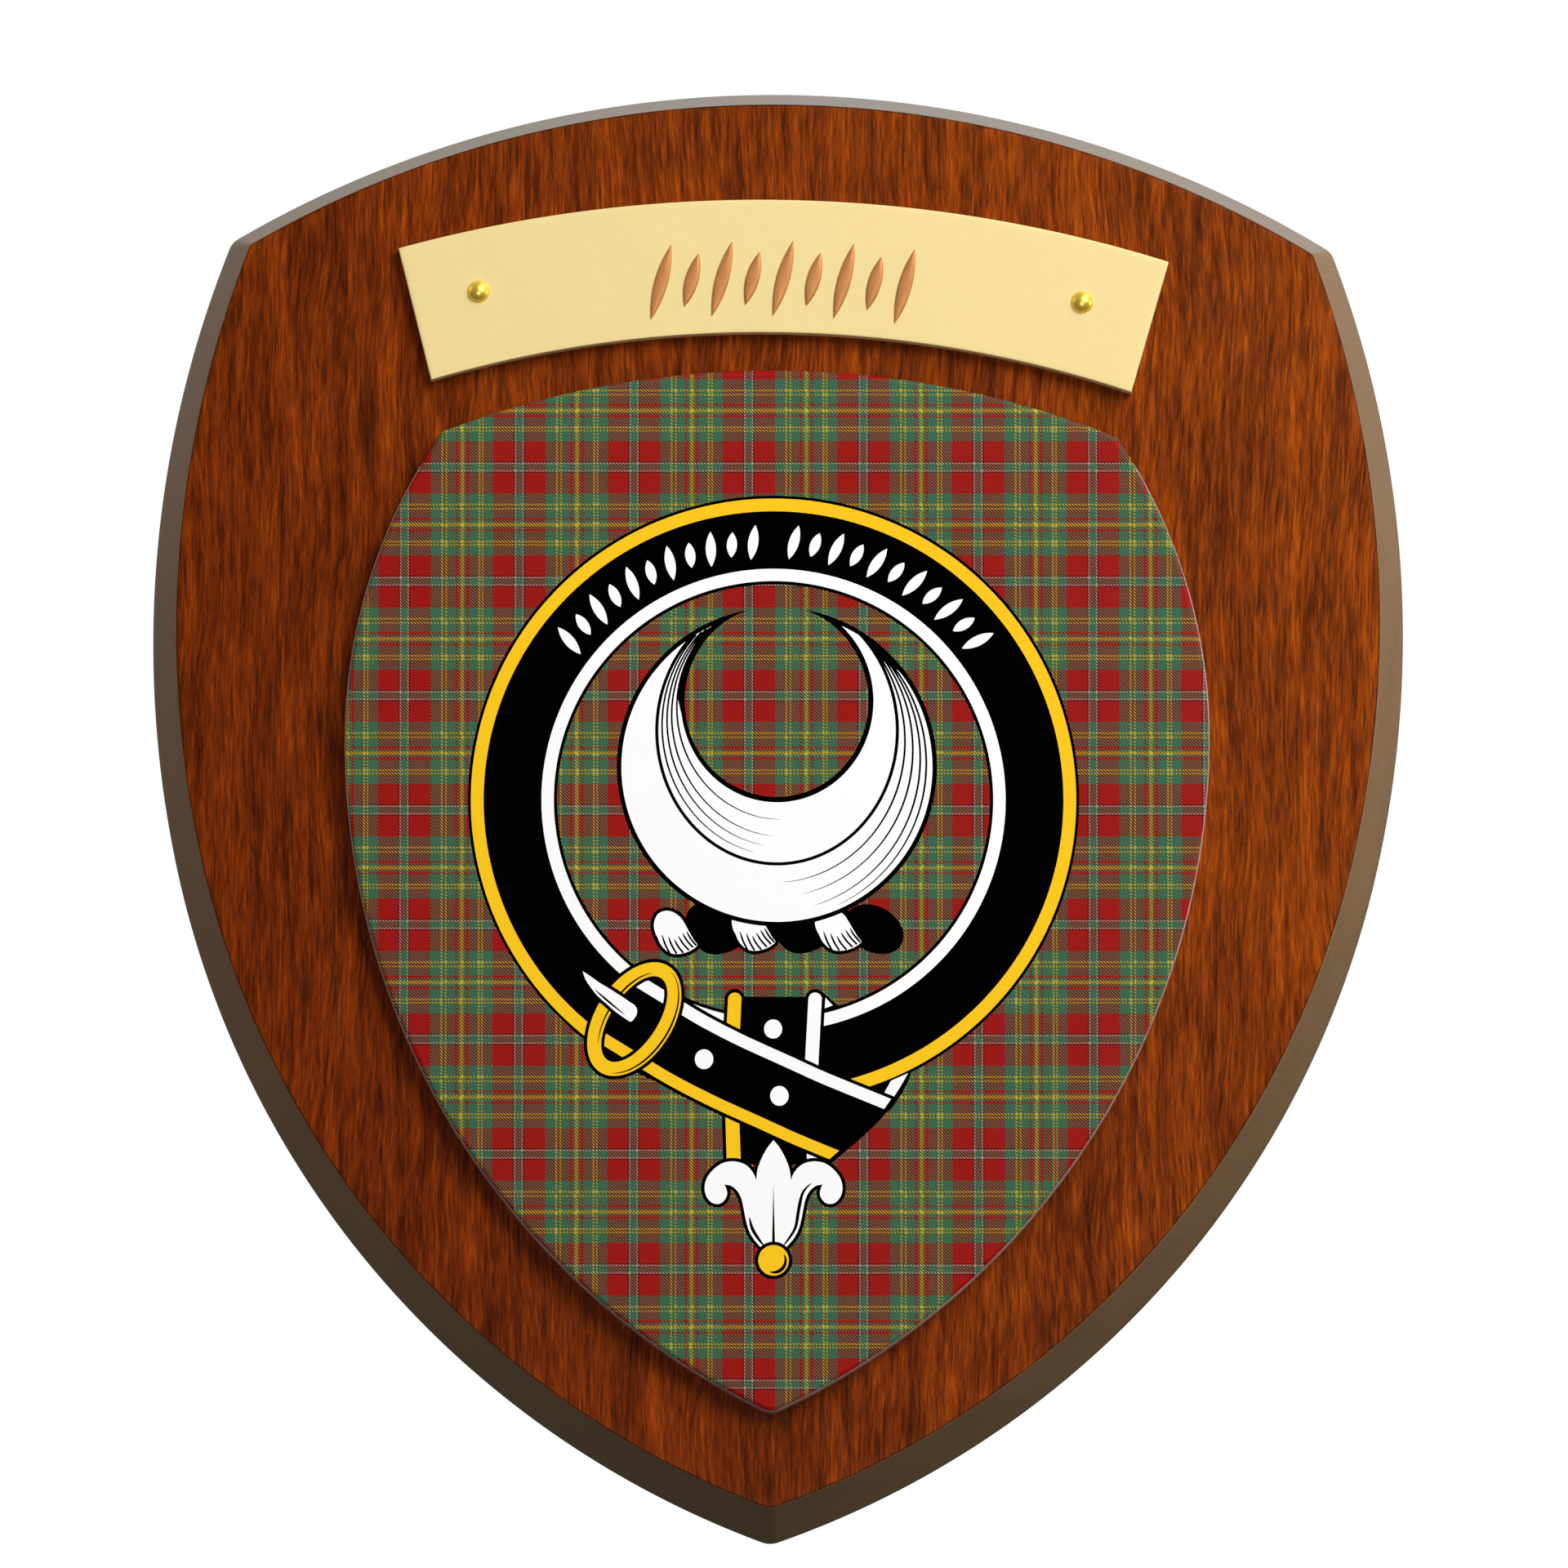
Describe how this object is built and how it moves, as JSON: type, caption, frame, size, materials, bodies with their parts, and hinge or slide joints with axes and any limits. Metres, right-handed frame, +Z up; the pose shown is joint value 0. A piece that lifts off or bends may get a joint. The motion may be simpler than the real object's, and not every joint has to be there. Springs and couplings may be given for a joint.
{
  "type": "wooden heraldic shield plaque",
  "caption": "Shield-shaped wooden wall plaque with a bevelled edge, a raised tartan panel with a printed badge, and an arched brass name plate held by pins.",
  "frame": {"origin": "on the flat back face, on the middle line, half way up the board", "axes": "+Z up as it hangs, +Y out of the back towards the wall, +X to the right of someone who looks at the front"},
  "size_m": [0.1524, 0.018, 0.1778],
  "materials": {
    "stained_wood": "reddish brown stain under satin lacquer, with a dull brown painted bevel",
    "tartan_print": "printed tartan weave with a strap and buckle badge in black, white and gold",
    "plate_brass": "pale satin brass with copper-coloured raised strokes",
    "pin_brass": "polished brass"
  },
  "bodies": {
    "root": {"board": "stained_wood", "tartan_panel": "tartan_print", "name_plate": "plate_brass", "pin_left": "pin_brass", "pin_right": "pin_brass"}
  },
  "joints": []
}
